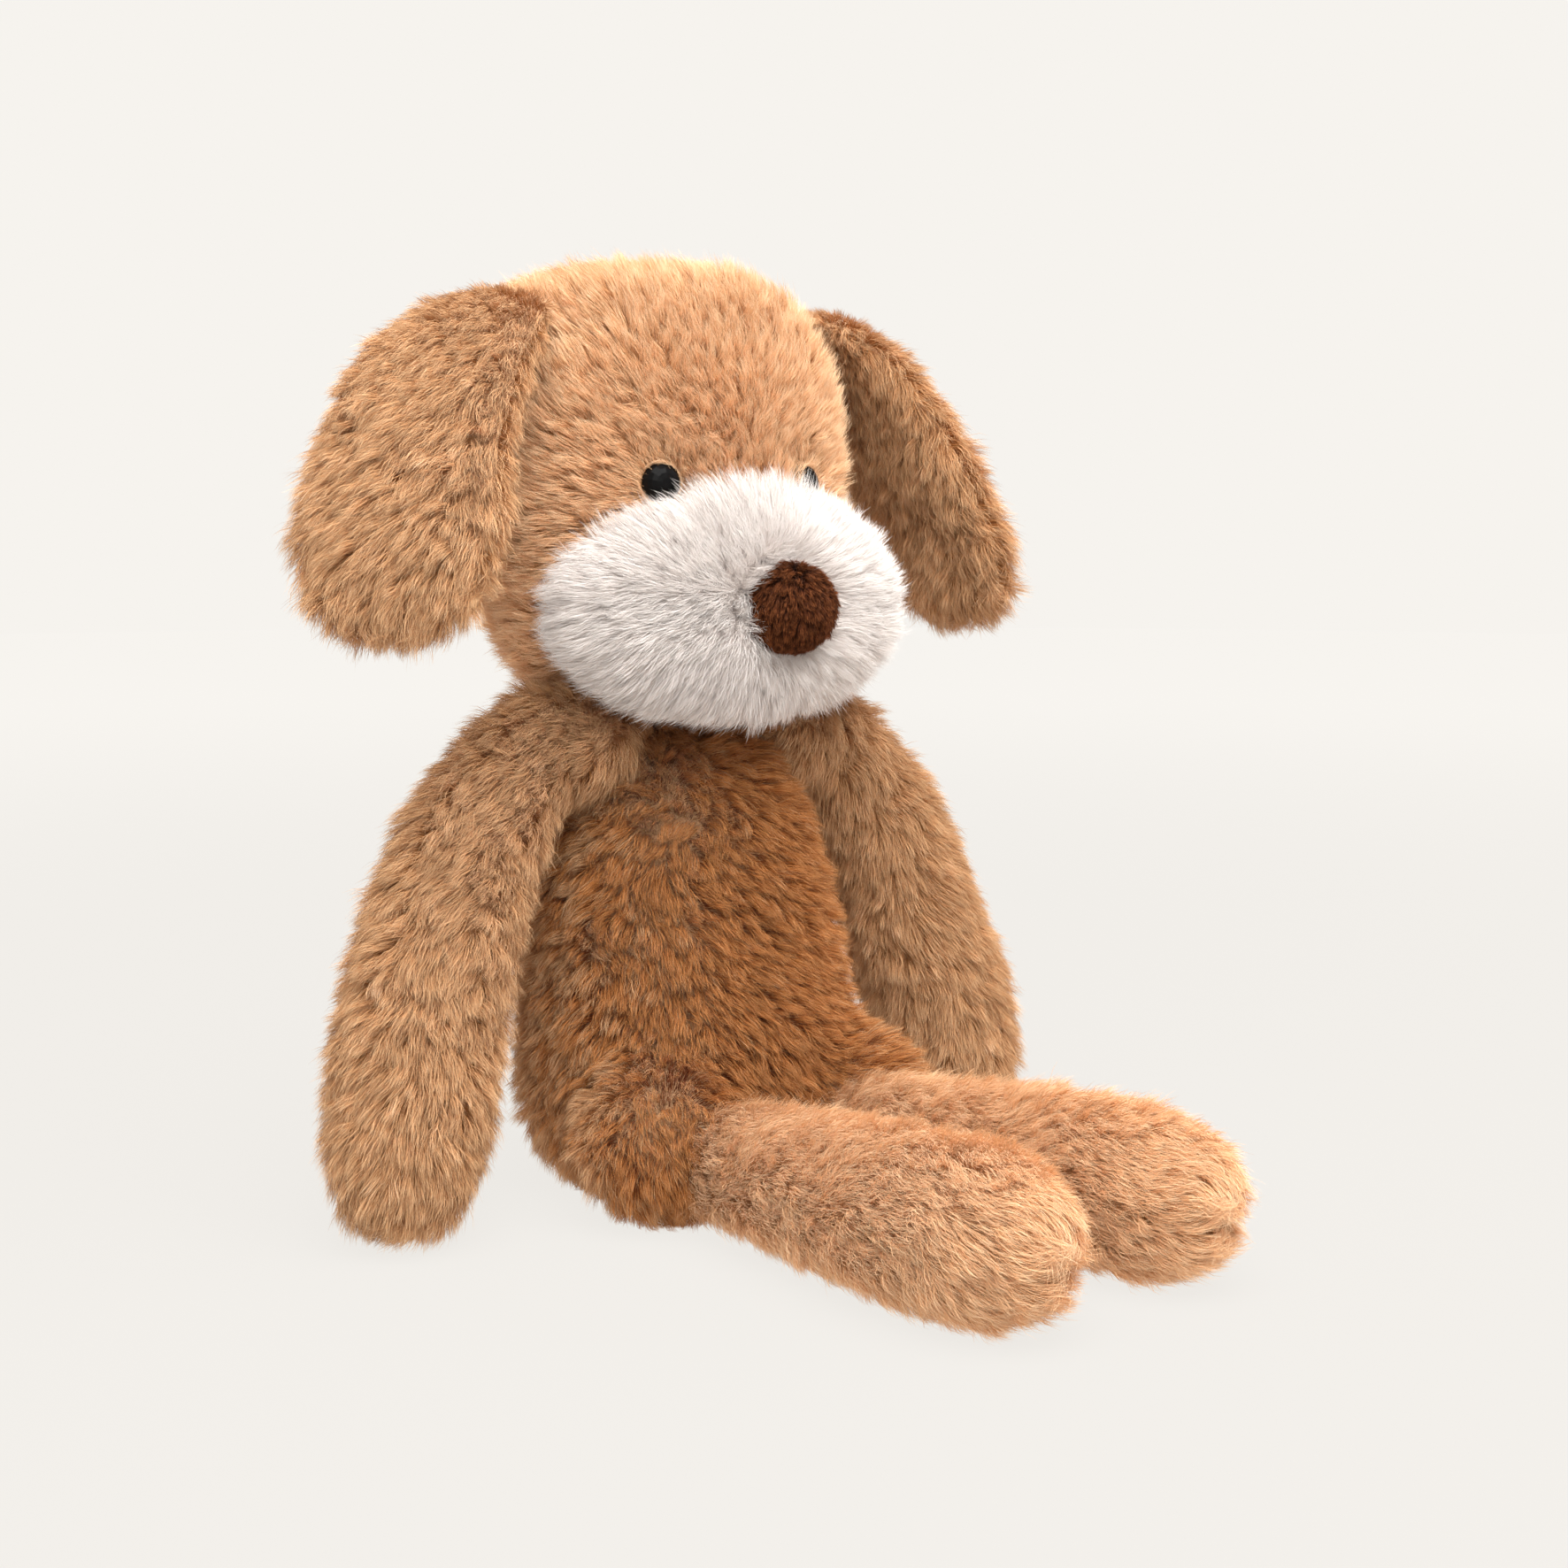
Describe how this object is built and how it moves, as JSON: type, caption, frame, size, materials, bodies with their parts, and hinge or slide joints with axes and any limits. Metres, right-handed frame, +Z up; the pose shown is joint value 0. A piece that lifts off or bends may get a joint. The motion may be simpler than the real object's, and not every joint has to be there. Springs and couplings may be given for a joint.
{
  "type": "plush dog",
  "caption": "Sitting plush dog with drop ears, a broad white muzzle, a ball nose, and floppy arms and legs that swing at the shoulders and hips.",
  "frame": {"origin": "middle of the flat seat, on the surface that the dog sits on", "axes": "+Z up, the dog faces -Y, its left side is +X"},
  "size_m": [0.2746, 0.2698, 0.296],
  "materials": {
    "honey_plush": "long honey-brown pile, matte",
    "white_plush": "long white pile, soft sheen",
    "brown_velour": "short dark brown velour pile",
    "eye_black": "glossy black",
    "nylon": "moulded natural nylon",
    "filling": "loose white polyester fibre",
    "lining": "plain woven cotton",
    "thread": "spun polyester thread",
    "satin": "blank satin ribbon"
  },
  "bodies": {
    "torso": {"torso_front_panel": "honey_plush", "torso_back_panel_left": "honey_plush", "torso_back_panel_right": "honey_plush", "seat_gusset": "honey_plush", "torso_stuffing": "filling", "pellet_bag": "lining", "closing_stitches": "thread", "care_label": "satin"},
    "head": {"head_face_panel": "honey_plush", "head_back_panel_left": "honey_plush", "head_back_panel_right": "honey_plush", "head_stuffing": "filling", "muzzle_upper_panel": "white_plush", "muzzle_lower_panel_left": "white_plush", "muzzle_lower_panel_right": "white_plush", "muzzle_stuffing": "filling", "nose_cover": "brown_velour", "nose_stuffing": "filling", "eye_left": "eye_black", "eye_washer_left": "nylon", "eye_right": "eye_black", "eye_washer_right": "nylon"},
    "ear_left": {"ear_left_outer_panel": "honey_plush", "ear_left_inner_panel": "honey_plush", "ear_left_stuffing": "filling"},
    "arm_left": {"arm_left_front_panel": "honey_plush", "arm_left_back_panel": "honey_plush", "arm_left_stuffing": "filling"},
    "leg_left": {"leg_left_upper_panel": "honey_plush", "leg_left_lower_panel": "honey_plush", "leg_left_stuffing": "filling"},
    "ear_right": {"ear_right_outer_panel": "honey_plush", "ear_right_inner_panel": "honey_plush", "ear_right_stuffing": "filling"},
    "arm_right": {"arm_right_front_panel": "honey_plush", "arm_right_back_panel": "honey_plush", "arm_right_stuffing": "filling"},
    "leg_right": {"leg_right_upper_panel": "honey_plush", "leg_right_lower_panel": "honey_plush", "leg_right_stuffing": "filling"}
  },
  "joints": [
    {"name": "neck_nod", "type": "hinge", "parent": "torso", "child": "head", "pos_m": [0, 0.02, 0.16], "axis": [1, 0, 0], "range_deg": [-12, 10], "stiffness_Nm_per_rad": 1.2},
    {"name": "ear_left_lift", "type": "hinge", "parent": "head", "child": "ear_left", "pos_m": [0.061, 0.018, 0.277], "axis": [-0.225, -0.9744, 0], "range_deg": [0, 75]},
    {"name": "ear_right_lift", "type": "hinge", "parent": "head", "child": "ear_right", "pos_m": [-0.061, 0.018, 0.277], "axis": [-0.225, 0.9744, 0], "range_deg": [0, 75]},
    {"name": "shoulder_left_swing", "type": "hinge", "parent": "torso", "child": "arm_left", "pos_m": [0.037, 0.007, 0.141], "axis": [-1, 0, 0], "range_deg": [-45, 90]},
    {"name": "shoulder_right_swing", "type": "hinge", "parent": "torso", "child": "arm_right", "pos_m": [-0.037, 0.007, 0.141], "axis": [-1, 0, 0], "range_deg": [-45, 90]},
    {"name": "hip_left_fold", "type": "hinge", "parent": "torso", "child": "leg_left", "pos_m": [0.028, -0.041, 0.02], "axis": [-1, 0, 0], "range_deg": [-70, 38]},
    {"name": "hip_right_fold", "type": "hinge", "parent": "torso", "child": "leg_right", "pos_m": [-0.028, -0.041, 0.02], "axis": [-1, 0, 0], "range_deg": [-70, 38]}
  ]
}
